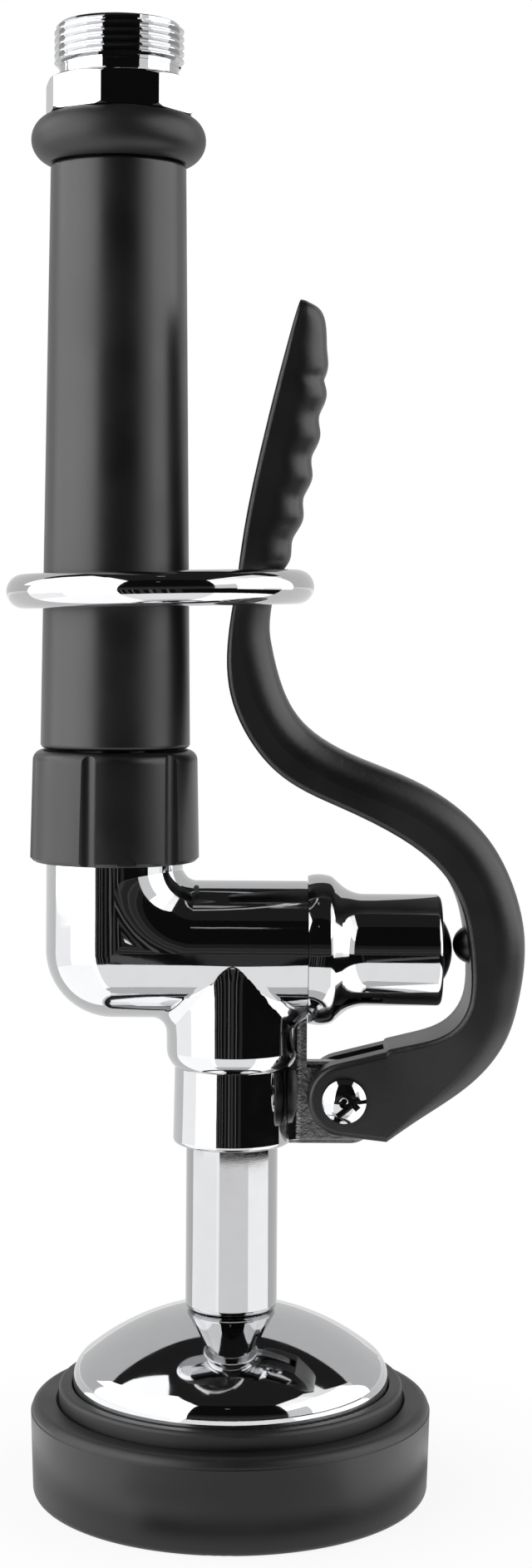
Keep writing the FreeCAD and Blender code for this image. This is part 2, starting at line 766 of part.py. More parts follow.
def make_valve_train():
    """Seat bush, stem, seat disc, its cup and nut: the disc opens towards the inlet."""
    axis = d.barrel_height
    seat_face = -(d.seat_shoulder + d.seat_lip_height)
    bush_radius = d.inlet_chamber_radius + 0.6 - d.fit_gap
    lip = d.seat_lip_height
    bush = turned("seat_bush", [
        (d.seat_hole_radius, 0),
        (d.seat_hole_radius + 1.0, 0),
        (d.seat_hole_radius + 1.4, lip),
        (bush_radius, lip + d.fit_gap),
        (bush_radius, lip + d.seat_bush_length),
        (d.seat_hole_radius, lip + d.seat_bush_length),
    ], (seat_face, 0, axis), "X")
    node(bush, "seat_bush")
    disc_face = seat_face - d.seat_gap
    hole = d.stem_radius + d.fit_gap
    disc = ring("seat_disc", hole, d.seat_disc_radius, d.seat_disc_thickness,
                (disc_face - d.seat_disc_thickness, 0, axis), "X")
    node(disc, "seat_disc")
    cup_floor = disc_face - d.seat_disc_thickness - d.fit_gap
    cup_depth = d.seat_disc_thickness * 0.6
    cup = turned("disc_cup", [
        (hole, 0),
        (d.disc_cup_radius, 0),
        (d.disc_cup_radius, d.disc_cup_base + cup_depth),
        (d.seat_disc_radius + d.fit_gap, d.disc_cup_base + cup_depth),
        (d.seat_disc_radius + d.fit_gap, d.disc_cup_base),
        (hole, d.disc_cup_base),
    ], (cup_floor - d.disc_cup_base, 0, axis), "X")
    node(cup, "disc_cup")
    nut_foot_x = cup_floor - d.disc_cup_base - d.fit_gap - d.stem_nut_length
    nut = cut("stem_nut_drilled",
              prism("stem_nut_blank", 6, d.stem_nut_size, d.stem_nut_length,
                    (nut_foot_x, 0, axis), "X"),
              [cylinder("stem_nut_hole", hole, d.stem_nut_length + 2,
                        (nut_foot_x - 1, 0, axis), "X")])
    node(nut, "stem_nut")
    stem_start = nut_foot_x - 1.6
    stem_end = plunger_face - 1.5
    collar_start = disc_face + d.fit_gap - stem_start
    collar_length = 1.4
    length = stem_end - stem_start
    stem = turned("valve_stem", [
        (0, 0),
        (d.stem_radius - 0.5, 0),
        (d.stem_radius, 0.5),
        (d.stem_radius, collar_start),
        (d.stem_collar_radius, collar_start),
        (d.stem_collar_radius, collar_start + collar_length),
        (d.stem_radius, collar_start + collar_length),
        (d.stem_radius, length - 0.5),
        (d.stem_radius - 0.5, length),
        (0, length),
    ], (stem_start, 0, axis), "X")
    node(stem, "valve_stem")


def make_bonnet_parts():
    """Bonnet on the barrel's end, with its gasket, stem seal, gland nut and return spring."""
    axis = d.barrel_height
    start = bonnet_face - d.bonnet_thread_length
    flange = d.bonnet_thread_length
    crown = d.bonnet_flange_crown
    half = d.bonnet_flange_length / 2
    edge_cos = (crown * crown - half * half).root() / crown
    edge_sin = half / crown
    slope_sin, slope_cos = wave("sin", d.bonnet_slope), wave("cos", d.bonnet_slope)
    flange_end = flange + d.bonnet_flange_length
    edge_radius = d.bonnet_flange_radius - crown * (1 - edge_cos)
    slope_start = flange_end + d.bonnet_flange_round * (slope_sin - edge_sin)
    slope_radius = edge_radius - d.bonnet_flange_round * (edge_cos - slope_cos)
    neck_radius = d.bonnet_radius + d.bonnet_neck_round * (1 - slope_cos)
    neck_start = slope_start + (slope_radius - neck_radius) * slope_cos / slope_sin
    neck_end = neck_start + d.bonnet_neck_round * slope_sin
    end = bonnet_end - start
    seal_wall = gland_wall_start - start
    spring_floor = spring_start - start
    stem_hole = d.stem_radius + d.fit_gap
    spring_bore = d.plunger_radius + d.fit_gap
    bonnet = turned("bonnet", [
        (d.gland_radius, 0),
        (d.bonnet_thread_radius, 0),
        (d.bonnet_thread_radius, flange + d.gasket_thickness),
        (d.gasket_radius, flange + d.gasket_thickness),
        (d.gasket_radius, flange),
        (edge_radius, flange),
        (edge_radius, flange_end, crown),
        (slope_radius, slope_start, d.bonnet_flange_round),
        (neck_radius, neck_start),
        (d.bonnet_radius, neck_end, -d.bonnet_neck_round),
        (d.bonnet_radius, end - d.bonnet_end_round),
        (d.bonnet_radius - d.bonnet_end_round, end, d.bonnet_end_round),
        (spring_bore + 0.4, end),
        (spring_bore, end - 0.4),
        (spring_bore, spring_floor),
        (stem_hole, spring_floor),
        (stem_hole, seal_wall),
        (d.gland_radius, seal_wall),
    ], (start, 0, axis), "X")
    node(bonnet, "bonnet")
    gasket = ring("bonnet_gasket", d.bonnet_thread_radius + d.fit_gap * 2,
                  d.gasket_radius - d.fit_gap, d.gasket_thickness,
                  (d.barrel_end + d.fit_gap, 0, axis), "X")
    node(gasket, "bonnet_gasket")
    seal_start = gland_wall_start - d.fit_gap - d.stem_seal_thickness
    seal = ring("stem_seal", d.stem_radius + d.fit_gap, d.gland_radius - d.fit_gap,
                d.stem_seal_thickness, (seal_start, 0, axis), "X")
    node(seal, "stem_seal")
    nut_start = seal_start - d.fit_gap - d.gland_nut_length
    gland = cut("gland_nut_socketed",
                ring("gland_nut_blank", stem_hole, d.gland_radius - d.fit_gap,
                     d.gland_nut_length, (nut_start, 0, axis), "X"),
                [prism("gland_nut_socket", 6, d.gland_radius * 0.62, d.gland_nut_length * 0.5,
                       (nut_start - 0.01, 0, axis), "X")])
    node(gland, "gland_nut")
    recess = 2.0
    plunger = turned("plunger_cap_turned", [
        (d.stem_radius + d.fit_gap, 0),
        (d.plunger_radius, 0),
        (d.plunger_radius, d.plunger_length - 0.6),
        (d.plunger_face_radius, d.plunger_length),
        (0, plunger_tip - plunger_foot, d.plunger_dome_radius),
        (0, d.plunger_length - 1.5 + d.fit_gap),
        (d.stem_radius + d.fit_gap, d.plunger_length - 1.5 + d.fit_gap),
    ], (plunger_foot, 0, axis), "X")
    groove = cut("plunger_cap_recessed", plunger, [
        ring("plunger_recess", d.spring_radius - d.spring_wire, d.spring_radius + d.spring_wire,
             recess, (plunger_foot - 0.01, 0, axis), "X")])
    node(groove, "plunger_cap")
    make_return_spring(spring_start + d.fit_gap, plunger_foot + recess - d.fit_gap * 2)


def make_return_spring(start, end):
    """Coil spring around the stem, between the bonnet's wall and the plunger cap."""
    body = doc.addObject("PartDesign::Body", "return_spring")
    sketch = body.newObject("Sketcher::SketchObject", "spring_section")
    sketch.AttachmentSupport = [(origin_plane(body, "XZ_Plane"), "")]
    sketch.MapMode = "FlatFace"
    wire = d.spring_wire / 2
    section = sketch.addGeometry(Part.Circle(Vector(d.spring_radius.value, wire.value, 0),
                                             Vector(0, 0, 1), wire.value))
    for rule, amount in ((Sketcher.Constraint("Radius", section, wire.value), wire),
                         (Sketcher.Constraint("DistanceX", -1, 1, section, 3,
                                              d.spring_radius.value), d.spring_radius),
                         (Sketcher.Constraint("DistanceY", -1, 1, section, 3, wire.value),
                          wire)):
        sketch.setExpression(f"Constraints[{sketch.addConstraint(rule)}]", amount.text)
    coil = body.newObject("PartDesign::AdditiveHelix", "spring_coil")
    coil.Profile = sketch
    coil.ReferenceAxis = (sketch, ["V_Axis"])
    coil.Mode = "height-turns-angle"
    bind(coil, "Height", end - start - d.spring_wire)
    bind(coil, "Turns", d.spring_turns)
    coil.Angle = 0
    place(body, (start, 0, d.barrel_height), "X")
    return node(body, "return_spring")


def lever_point(anchor, x, z):
    """A point of the lever, from the pivot, the pad's seat or the foot of the grip."""
    base = {
        "pivot": (d.pivot_reach, pivot_height),
        "pad": (lever_face, d.barrel_height),
        "grip": (grip_axis + d.grip_bottom_radius, grip_foot),
    }[anchor]
    return Vector(base[0].value + x, 0, base[1].value + z)


# Stations along the lever from the fork to the tip: where the flat inner side and the
# rounded outer side lie, each from its anchor.
LEVER_STATIONS = (
    (("pivot", 8.4, 9.6), ("pivot", 8.4, -8.3)),
    (("pad", -12.0, -17.9), ("pad", -6.0, -30.3)),
    (("pad", -4.3, -15.3), ("pad", 3.5, -22.8)),
    (("pad", -1.4, -12.2), ("pad", 7.6, -16.8)),
    (("pad", -0.05, -8.1), ("pad", 10.0, -9.2)),
    (("pad", 0.0, -1.6), ("pad", 11.1, -0.7)),
    (("pad", -1.4, 7.9), ("pad", 10.0, 9.2)),
    (("pad", -5.4, 15.9), ("pad", 4.3, 21.8)),
    (("pad", -13.4, 22.65), ("pad", -7.9, 32.3)),
    (("pad", -26.4, 29.2), ("pad", -22.5, 38.6)),
    (("grip", 17.1, -4.0), ("grip", 23.4, 4.5)),
    (("grip", 9.8, 6.2), ("grip", 18.8, 11.5)),
    (("grip", 7.4, 18.5), ("grip", 16.3, 20.5)),
    (("grip", 8.4, 28.2), ("grip", 16.0, 27.0)),
    (("grip", 9.2, 33.0), ("grip", 17.4, 33.0)),
    (("grip", 9.9, 38.5), ("grip", 19.3, 37.65)),
    (("grip", 13.7, 59.0), ("grip", 24.5, 58.2)),
    (("grip", 17.7, 75.6), ("grip", 26.9, 75.0)),
    (("grip", 20.2, 85.0), ("grip", 26.8, 84.0)),
)
LEVER_TIP = (
    (("grip", 20.8, 87.0), ("grip", 26.2, 86.7), 0.97),
    (("grip", 21.3, 88.6), ("grip", 24.8, 88.4), 0.85),
    (("grip", 21.8, 89.3), ("grip", 23.3, 89.3), 0.6),
)
LOWEST_RIDGE = ("grip", 19.3, 37.65)
RIDGES = 5
CUTS_PER_RIDGE = 6
CUTS_PER_STATION = 2
SQUARE_CORNER = 1.0
SQUARE_STATION_COUNT = 4
FLARED_STATION = 3


def lever_section(inner, outer, corner, width):
    """Cross-section of the lever: a flat inner side with soft edges, and two well rounded
    outer corners."""
    half = width / 2
    across = Vector(0, 1, 0)
    out = outer - inner
    depth = out.Length
    out.normalize()
    side = min(corner, half * 0.97)
    rise = min(corner, depth * 0.8)
    edge = min(d.lever_edge_round.value, depth * 0.1)
    pull = 0.5523

    def at(y, v):
        return inner + across * y + out * v

    def corner_curve(a, b, c, e):
        curve = Part.BezierCurve()
        curve.setPoles([a, b, c, e])
        return curve.toShape()

    left_foot, right_foot = at(-half + edge, 0), at(half - edge, 0)
    left_edge, right_edge = at(-half, edge), at(half, edge)
    left, right = at(-half, depth - rise), at(half, depth - rise)
    top_left, top_right = at(-half + side, depth), at(half - side, depth)
    edges = [
        Part.makeLine(right_foot, left_foot),
        corner_curve(left_foot, at(-half + edge * (1 - pull), 0),
                     at(-half, edge * (1 - pull)), left_edge),
        Part.makeLine(left_edge, left),
        corner_curve(left, at(-half, depth - rise * (1 - pull)),
                     at(-half + side * (1 - pull), depth), top_left),
        Part.makeLine(top_left, top_right),
        corner_curve(top_right, at(half - side * (1 - pull), depth),
                     at(half, depth - rise * (1 - pull)), right),
        Part.makeLine(right, right_edge),
        corner_curve(right_edge, at(half, edge * (1 - pull)),
                     at(half - edge * (1 - pull), 0), right_foot),
    ]
    return Part.Wire(edges)


def make_lever_arm():
    """The arm from the fork round the bonnet and up beside the grip, lofted."""
    inner = [lever_point(*pair[0]) for pair in LEVER_STATIONS]
    outer = [lever_point(*pair[1]) for pair in LEVER_STATIONS]
    steps = [0.0]
    for i in range(1, len(inner)):
        run = (inner[i] - inner[i - 1]).Length + (outer[i] - outer[i - 1]).Length
        steps.append(steps[-1] + run / 2)
    inner_curve, outer_curve = Part.BSplineCurve(), Part.BSplineCurve()
    inner_curve.interpolate(Points=inner, Parameters=steps)
    outer_curve.interpolate(Points=outer, Parameters=steps)
    fork_width, full_width = d.fork_width.value, d.lever_width.value
    lowest = lever_point(*LOWEST_RIDGE).z
    pitch = d.ridge_pitch.value
    ridge_start = lowest - pitch / 2
    ridge_end = lowest + pitch * (RIDGES - 0.5)
    places = []
    for i in range(len(steps) - 1):
        run = steps[i + 1] - steps[i]
        ridged = ridge_start - 1 < outer[i].z and outer[i + 1].x > outer[i].x
        fine = math.ceil(run / pitch * CUTS_PER_RIDGE)
        count = fine if ridged else CUTS_PER_STATION
        places += [steps[i] + run * k / count for k in range(count)]
    places.append(steps[-1])
    wires = []
    for where in places:
        start, end = inner_curve.value(where), outer_curve.value(where)
        if ridge_start < end.z < ridge_end:
            wave = math.cos(2 * math.pi * (end.z - lowest) / pitch)
            end = end + (end - start).normalize() * d.ridge_height.value * wave
        growth = min(1.0, where / steps[SQUARE_STATION_COUNT])
        corner = SQUARE_CORNER + (d.lever_corner_round.value - SQUARE_CORNER) * growth
        flare = min(1.0, where / steps[FLARED_STATION])
        width = fork_width + (full_width - fork_width) * flare * flare * (3 - 2 * flare)
        wires.append(lever_section(start, end, corner, width))
    for start, end, narrow in LEVER_TIP:
        wires.append(lever_section(lever_point(*start), lever_point(*end),
                                   d.lever_corner_round.value, full_width * narrow))
    return Part.makeLoft(wires, True, False)


def make_fork_block():
    """The flat-sided fork around the pivot, before its slot is cut."""
    pivot = Vector(d.pivot_reach.value, 0, pivot_height.value)
    radius = d.fork_radius.value
    upper, lower = (lever_point(*LEVER_STATIONS[0][side]) for side in (0, 1))

    def rim(angle):
        return pivot + Vector(math.cos(angle), 0, math.sin(angle)) * radius

    def touch(corner, side):
        away = corner - pivot
        return rim(math.atan2(away.z, away.x) + side * math.acos(radius / away.Length))

    top, bottom = touch(upper, 1), touch(lower, -1)
    outline = Part.Wire([
        Part.makeLine(lower, upper),
        Part.makeLine(upper, top),
        Part.Arc(top, rim(math.pi), bottom).toShape(),
        Part.makeLine(bottom, lower),
    ])
    width = d.fork_width.value
    face = Part.Face(outline)
    face.translate(Vector(0, -width / 2, 0))
    block = face.extrude(Vector(0, width, 0))
    middle = (lower + upper) / 2
    edges = [e for e in block.Edges
             if abs(abs(e.CenterOfMass.y) - width / 2) < 0.001
             and abs(e.CenterOfMass.x - middle.x) > 1]
    return block.makeFillet(d.fork_edge_round.value, edges)


def make_lever_parts():
    """Lever with its fork, pad, pivot screw and nut, and the lug's bush and washers."""
    blank = doc.addObject("Part::Feature", "lever_blank")
    blank.Shape = make_lever_arm().fuse(make_fork_block())
    half = d.fork_width / 2
    pad_height = d.barrel_height + d.pad_height_over_axis
    pad_seat = lever_face + d.pad_sink
    slot_start = d.pivot_reach - d.fork_radius - 1
    nut_floor = half - d.pivot_nut_thickness - d.part_gap
    screw_hole = d.pivot_screw_radius + d.fit_gap
    tools = [
        box("fork_slot", d.fork_radius + 1 + d.fork_slot_reach, d.fork_slot_width,
            d.fork_radius * 4,
            (slot_start, -(d.fork_slot_width / 2), pivot_height - d.fork_radius * 2)),
        cylinder("lever_screw_hole", screw_hole, d.fork_width + 2,
                 (d.pivot_reach, -(half + 1), pivot_height), "Y"),
        prism("lever_nut_recess", 6, d.pivot_nut_size + 0.1, d.pivot_nut_thickness + 1,
              (d.pivot_reach, nut_floor, pivot_height), "Y"),
        cylinder("pad_seat", d.pad_radius + 0.1, d.pad_radius * 2,
                 (pad_seat - d.pad_radius * 2, 0, pad_height), "X"),
        cylinder("pad_hole", d.pad_stem_radius + d.fit_gap, d.pad_stem_length + 0.2,
                 (pad_seat, 0, pad_height), "X"),
    ]
    node(cut("lever_cut", blank, tools), "lever")
    pad_rise = d.pad_height + d.pad_sink - d.fit_gap
    pad_foot = (pad_rise * (2 * d.pad_radius - pad_rise)).root()
    pad = turned("lever_pad", [
        (0, d.pad_stem_length),
        (d.pad_stem_radius, d.pad_stem_length),
        (d.pad_stem_radius, 0),
        (pad_foot, 0),
        (0, -pad_rise, -d.pad_radius),
    ], (pad_seat - d.fit_gap, 0, pad_height), "X")
    node(pad, "lever_pad")
    head = d.pivot_head_height
    tip = head + d.fork_width - 0.2
    dome = d.pivot_head_radius * 1.35
    rim = 0.9
    screw = turned("pivot_screw_turned", [
        (0, 0),
        (d.pivot_head_radius, head - rim, dome),
        (d.pivot_head_radius, head),
        (d.pivot_screw_radius, head),
        (d.pivot_screw_radius, tip),
        (0, tip),
    ], (d.pivot_reach, -(half + head + d.fit_gap), pivot_height), "Y")
    front = half + head + d.fit_gap + d.recess_overrun
    depth = d.recess_depth + d.recess_overrun
    recess = []
    for name, quarter in (("across", 0), ("upright", 90)):
        turn = math.radians(d.recess_turn.value + quarter)
        along = Vector(math.cos(turn), 0, math.sin(turn))
        side = Vector(-math.sin(turn), 0, math.cos(turn))
        corner = along * -d.recess_arm.value - side * (d.recess_width.value / 2)
        recess.append(solid(
            "Part::Box", f"recess_{name}",
            {"Length": d.recess_arm * 2, "Width": d.recess_width, "Height": depth},
            (d.pivot_reach + corner.x, -front, pivot_height + corner.z),
            turn=Rotation(along, side, Vector(0, 1, 0), "ZXY")))
    centre = solid("Part::Cone", "recess_centre",
                   {"Radius1": d.recess_width, "Radius2": d.recess_width / 2,
                    "Height": depth + d.recess_width / 2},
                   (d.pivot_reach, -front, pivot_height), "Y")
    node(cut("pivot_screw_slotted", screw, [*recess, centre]), "pivot_screw")
    nut_start = nut_floor + d.fit_gap
    nut = cut("pivot_nut_drilled",
              prism("pivot_nut_blank", 6, d.pivot_nut_size, d.pivot_nut_thickness,
                    (d.pivot_reach, nut_start, pivot_height), "Y"),
              [cylinder("pivot_nut_hole", screw_hole, d.pivot_nut_thickness + 2,
                        (d.pivot_reach, nut_start - 1, pivot_height), "Y")])
    node(nut, "pivot_nut")
    bush = ring("pivot_bush", screw_hole, screw_hole + d.pivot_bush_wall, d.lug_thickness,
                (d.pivot_reach, -(d.lug_thickness / 2), pivot_height), "Y")
    node(bush, "pivot_bush")
    near = d.lug_thickness / 2 + d.fit_gap
    washers = []
    for name, y in (("front", -(near + d.pivot_washer_thickness)), ("back", near)):
        washers.append(ring(f"pivot_washer_{name}", screw_hole, d.pivot_washer_radius,
                            d.pivot_washer_thickness, (d.pivot_reach, y, pivot_height), "Y"))
    node(fuse("pivot_washer_pair", washers), "pivot_washers")


def make_coupling_parts():
    """Fluted nut with a moulded arch at its foot, which clamps the riser tube's flange and a
    washer to the valve body."""
    at = (grip_axis, 0, nut_foot)
    shoulder = d.barrel_height + d.spigot_shoulder - nut_foot
    ceiling = tail_flange_foot + d.tail_flange_thickness + d.fit_gap - nut_foot
    thread = d.spigot_radius + d.fit_gap
    nut = turned("nut_blank", [
        (d.barrel_radius + d.seat_gap, 0),
        (d.nut_radius - 0.7, 0),
        (d.nut_radius, 0.7),
        (d.nut_top_radius, d.nut_height - d.nut_top_round),
        (d.nut_top_radius - d.nut_top_round, d.nut_height, d.nut_top_round),
        (d.riser_radius + d.seat_gap, d.nut_height),
        (d.riser_radius + d.seat_gap, ceiling),
        (thread, ceiling),
        (thread, shoulder + d.seat_gap),
        (d.barrel_radius + d.seat_gap, shoulder + d.seat_gap),
    ], at)
    pocket_ring(nut, "nut_flute", d.nut_flute_radius,
                d.nut_radius + d.nut_flute_radius - d.nut_flute_depth, d.nut_flute_angle,
                NUT_LOBES)
    swing = Rotation(Vector(0, 0, 1), d.nut_mark_angle.value)
    facing = swing.multVec(Vector(0, -1, 0))
    start = d.nut_radius * 2 - d.nut_mark_depth
    mark = solid("Part::Cylinder", "nut_mark",
                 {"Radius": d.nut_mark_radius, "Height": d.nut_radius},
                 (grip_axis + start * facing.x, start * facing.y, nut_foot),
                 turn=swing.multiply(TURN_TO["Y"]))
    node(cut("nut_marked", nut, [mark]), "coupling_nut")
    washer = ring("coupling_washer", d.riser_bore_radius, d.spigot_radius - 0.5,
                  d.washer_thickness, (grip_axis, 0, spigot_top + d.fit_gap))
    node(washer, "coupling_washer")
    riser_top = flange_foot - 2 - tail_flange_foot
    flange = d.tail_flange_thickness
    riser = turned("riser_tube", [
        (d.riser_bore_radius, 0),
        (d.tail_flange_radius, 0),
        (d.tail_flange_radius, flange),
        (d.riser_radius, flange),
        (d.riser_radius, riser_top),
        (d.riser_bore_radius, riser_top),
    ], (grip_axis, 0, tail_flange_foot))
    node(riser, "riser_tube")


def make_grip_parts():
    """Tapered grip sleeve, the bead collar on it and the hose adapter above."""
    edge = d.grip_edge_round
    slope = (d.grip_bottom_radius - d.grip_top_radius) / d.grip_length
    counterbore = d.grip_length - (grip_top - shank_foot) - d.seat_gap
    grip = turned("grip_sleeve", [
        (d.riser_radius + d.fit_gap, 0),
        (d.grip_bottom_radius - edge, 0),
        (d.grip_bottom_radius - slope * edge, edge, edge + 0.03),
        (d.grip_top_radius + slope * edge, d.grip_length - edge),
        (d.grip_top_radius - edge, d.grip_length, edge + 0.03),
        (d.shank_radius + d.fit_gap, d.grip_length),
        (d.shank_radius + d.fit_gap, counterbore),
        (d.riser_radius + d.fit_gap, counterbore),
    ], (grip_axis, 0, grip_foot))
    node(grip, "grip_sleeve")
    bead = d.collar_height
    collar = turned("collar_ring", [
        (d.shank_radius + d.fit_gap, 0),
        (d.collar_radius - 3.4, 0),
        (d.collar_radius - 3.4, bead, bead * 0.53),
        (d.shank_radius + d.fit_gap, bead),
    ], (grip_axis, 0, collar_foot))
    node(collar, "collar_ring")
    make_hose_adapter()


def make_hose_adapter():
    """Octagonal flange with a male hose thread above and a shank down into the grip."""
    foot = d.shank_length
    top = foot + d.flange_height
    relief_top = top + d.relief_length
    end = relief_top + d.thread_length
    socket = d.shank_length - 2
    root = d.thread_radius - d.thread_depth
    end_chamfer = d.thread_chamfer - d.thread_depth
    body = turned("adapter_turned", [
        (d.riser_radius + d.fit_gap, 0),
        (d.shank_radius, 0),
        (d.shank_radius, foot + 1),
        (d.relief_radius, foot + 1),
        (d.relief_radius, relief_top),
        (root, relief_top),
        (root, end - end_chamfer),
        (root - end_chamfer, end),
        (d.adapter_bore_radius, end),
        (d.adapter_bore_radius, socket + d.seat_gap),
        (d.riser_radius + d.fit_gap, socket + d.seat_gap),
    ], (grip_axis, 0, shank_foot))
    ridge = make_thread_ridge(relief_top, end)
    octagon = prism("flange_octagon", FLANGE_SIDES, d.flange_corner_radius, d.flange_height,
                    (grip_axis, 0, flange_foot),
                    turn=Rotation(Vector(0, 0, 1), d.flange_turn.value))
    chamfer = d.flange_chamfer
    disc = turned("flange_disc", [
        (d.riser_bore_radius + 1, 0),
        (d.flange_corner_radius - 0.5, 0),
        (d.flange_corner_radius, 0.4),
        (d.flange_corner_radius, d.flange_height - chamfer),
        (d.flange_corner_radius - chamfer * 1.7, d.flange_height),
        (d.riser_bore_radius + 1, d.flange_height),
    ], (grip_axis, 0, flange_foot))
    flange = common("flange_rounded", octagon, disc)
    return node(fuse("adapter_whole", [body, ridge, flange]), "hose_adapter")


def make_thread_ridge(start, end):
    """The helical ridge of the male thread, trimmed to its lead-in and its end chamfer."""
    body = doc.addObject("PartDesign::Body", "thread_ridge")
    sketch = body.newObject("Sketcher::SketchObject", "thread_section")
    sketch.AttachmentSupport = [(origin_plane(body, "XZ_Plane"), "")]
    sketch.MapMode = "FlatFace"
    root = d.thread_radius - d.thread_depth
    inside = root - d.thread_sink
    wide = d.thread_pitch * 0.44
    narrow = d.thread_pitch * 0.04
    crest = d.thread_radius + d.thread_sink
    corners = [(inside, -wide), (crest, -narrow), (crest, narrow), (inside, wide)]
    for i in range(4):
        (x1, y1), (x2, y2) = corners[i], corners[(i + 1) % 4]
        sketch.addGeometry(Part.LineSegment(Vector(as_size(x1).value, as_size(y1).value, 0),
                                            Vector(as_size(x2).value, as_size(y2).value, 0)))
    for i, (x, y) in enumerate(corners):
        sketch.addConstraint(Sketcher.Constraint("Coincident", (i - 1) % 4, 2, i, 1))
        for kind, amount in (("DistanceX", x), ("DistanceY", y)):
            rule = sketch.addConstraint(Sketcher.Constraint(kind, -1, 1, i, 1, amount.value))
            sketch.setExpression(f"Constraints[{rule}]", amount.text)
    helix = body.newObject("PartDesign::AdditiveHelix", "thread_helix")
    helix.Profile = sketch
    helix.ReferenceAxis = (sketch, ["V_Axis"])
    helix.Mode = "pitch-height-angle"
    bind(helix, "Pitch", d.thread_pitch)
    bind(helix, "Height", end - start)
    helix.Angle = 0
    place(body, (grip_axis, 0, shank_foot + start))
    envelope = turned("thread_envelope", [
        (root - 1, 0),
        (root, 0),
        (d.thread_radius, d.thread_depth),
        (d.thread_radius, end - start - d.thread_chamfer),
        (d.thread_radius - d.thread_chamfer, end - start),
        (root - 1, end - start),
    ], (grip_axis, 0, shank_foot + start))
    return common("thread_trimmed", body, envelope)


def make_hold_ring():
    """Loose round ring over the grip and the lever, which holds the lever squeezed."""
    thing = solid("Part::Torus", "hold_ring_wire",
                  {"Radius1": d.ring_radius, "Radius2": d.ring_wire_radius},
                  (-d.ring_offset, 0, grip_foot + d.ring_rise),
                  turn=Rotation(Vector(0, 1, 0), -d.ring_tilt.value))
    return node(thing, "hold_ring")


make_bumper()
make_spray_bell()
make_face_parts()
make_nozzle_parts()
make_valve_body()
make_valve_train()
make_bonnet_parts()
make_lever_parts()
make_coupling_parts()
make_grip_parts()
make_hold_ring()
doc.recompute()

for thing in doc.Objects:
    if "Invalid" in thing.State or "Error" in thing.State:
        raise ValueError(f"{thing.Label} failed: {thing.State}")
os.makedirs("parts", exist_ok=True)
for thing in nodes:
    shape = thing.Shape
    if shape.isNull() or not shape.isValid() or not shape.Solids:
        raise ValueError(f"{thing.Label} has no valid solid")
    shape.exportStep(f"parts/{thing.Label}.step")
print(f"{len(nodes)} nodes; top of the thread at {thread_top.value:.2f} mm; "
      f"plunger tip at {plunger_tip.value:.2f} mm; lever face at {lever_face.value:.2f} mm")
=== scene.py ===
import math

import bpy
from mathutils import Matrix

# Pre-rinse spray valve: chrome body and bell, black grip, lever, nut and bumper.
# Metres and degrees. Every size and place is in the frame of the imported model.

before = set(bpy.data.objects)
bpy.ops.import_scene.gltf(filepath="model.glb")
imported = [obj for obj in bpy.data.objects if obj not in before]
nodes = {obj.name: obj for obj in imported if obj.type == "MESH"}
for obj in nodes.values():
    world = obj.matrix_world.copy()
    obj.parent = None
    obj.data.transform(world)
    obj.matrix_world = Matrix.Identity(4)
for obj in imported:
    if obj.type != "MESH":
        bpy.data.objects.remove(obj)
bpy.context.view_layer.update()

# The camera is level and just right of the nozzle's axis. It is turned a little about its
# own line of sight, as the photograph is. The frame is 640 by 1886 pixels.
FRAME_HEIGHT_PX = 1886
CAMERA_PLACE = (0.0064, -0.520, 0.17704)
CAMERA_FOCAL_PX = 3120
CAMERA_ROLL_RAD = -0.00576
CAMERA_NEAR = 0.01
SENSOR_WIDTH_MM = 36.0
HORIZON_ABOVE_CENTRE_PX = 217
ROLL_OFFSET_PX = -1.25

# Plating: tint, height of its slow waves and the waves' size.
CHROME_TINT = (0.56, 0.565, 0.575)
WAVE_SIZE = 0.012
CHROMES = {
    "chrome_plate": (CHROME_TINT, 0.00002, WAVE_SIZE),
    "chrome_casting": (CHROME_TINT, 0.00003, 0.009),
    "nickel_tube": ((0.45, 0.452, 0.458), 0.000005, WAVE_SIZE),
    "polished_wire": ((0.58, 0.58, 0.59), 0.00001, WAVE_SIZE),
    "steel_plain": ((0.62, 0.62, 0.61), 0.00001, WAVE_SIZE),
    "brass_plain": ((0.72, 0.55, 0.28), 0.00001, WAVE_SIZE),
}
# Each noise: size of its lumps, detail and, for some, roughness.
WAVE_DETAIL = 2.0
SMEAR_NOISE = (0.004, 4.0, 0.6)
SMEAR_SHADE = 0.93
SMEAR_SPAN = (0.3, 0.75)
CHROME_ROUGHNESS = (0.025, 0.07)
SCRATCH_NOISE = (0.0012, 2.0)
SCRATCH_SQUASH = (1, 1, 12)
SCRATCH_STRENGTH = 0.25
SCRATCH_DEPTH = 0.000002

# The casting's web and lug, beyond X of WEB_START and below WEB_TOP, are left rough.
WEB_START = 0.0126
WEB_TOP = 0.0945
WEB_FADE = 0.0012
WEB_NOISE = (0.0016, 5.0, 0.65)
WEB_GRIT = 0.00016
WEB_ROUGHNESS = 0.22
WEB_TINT = (0.15, 0.15, 0.155, 1)

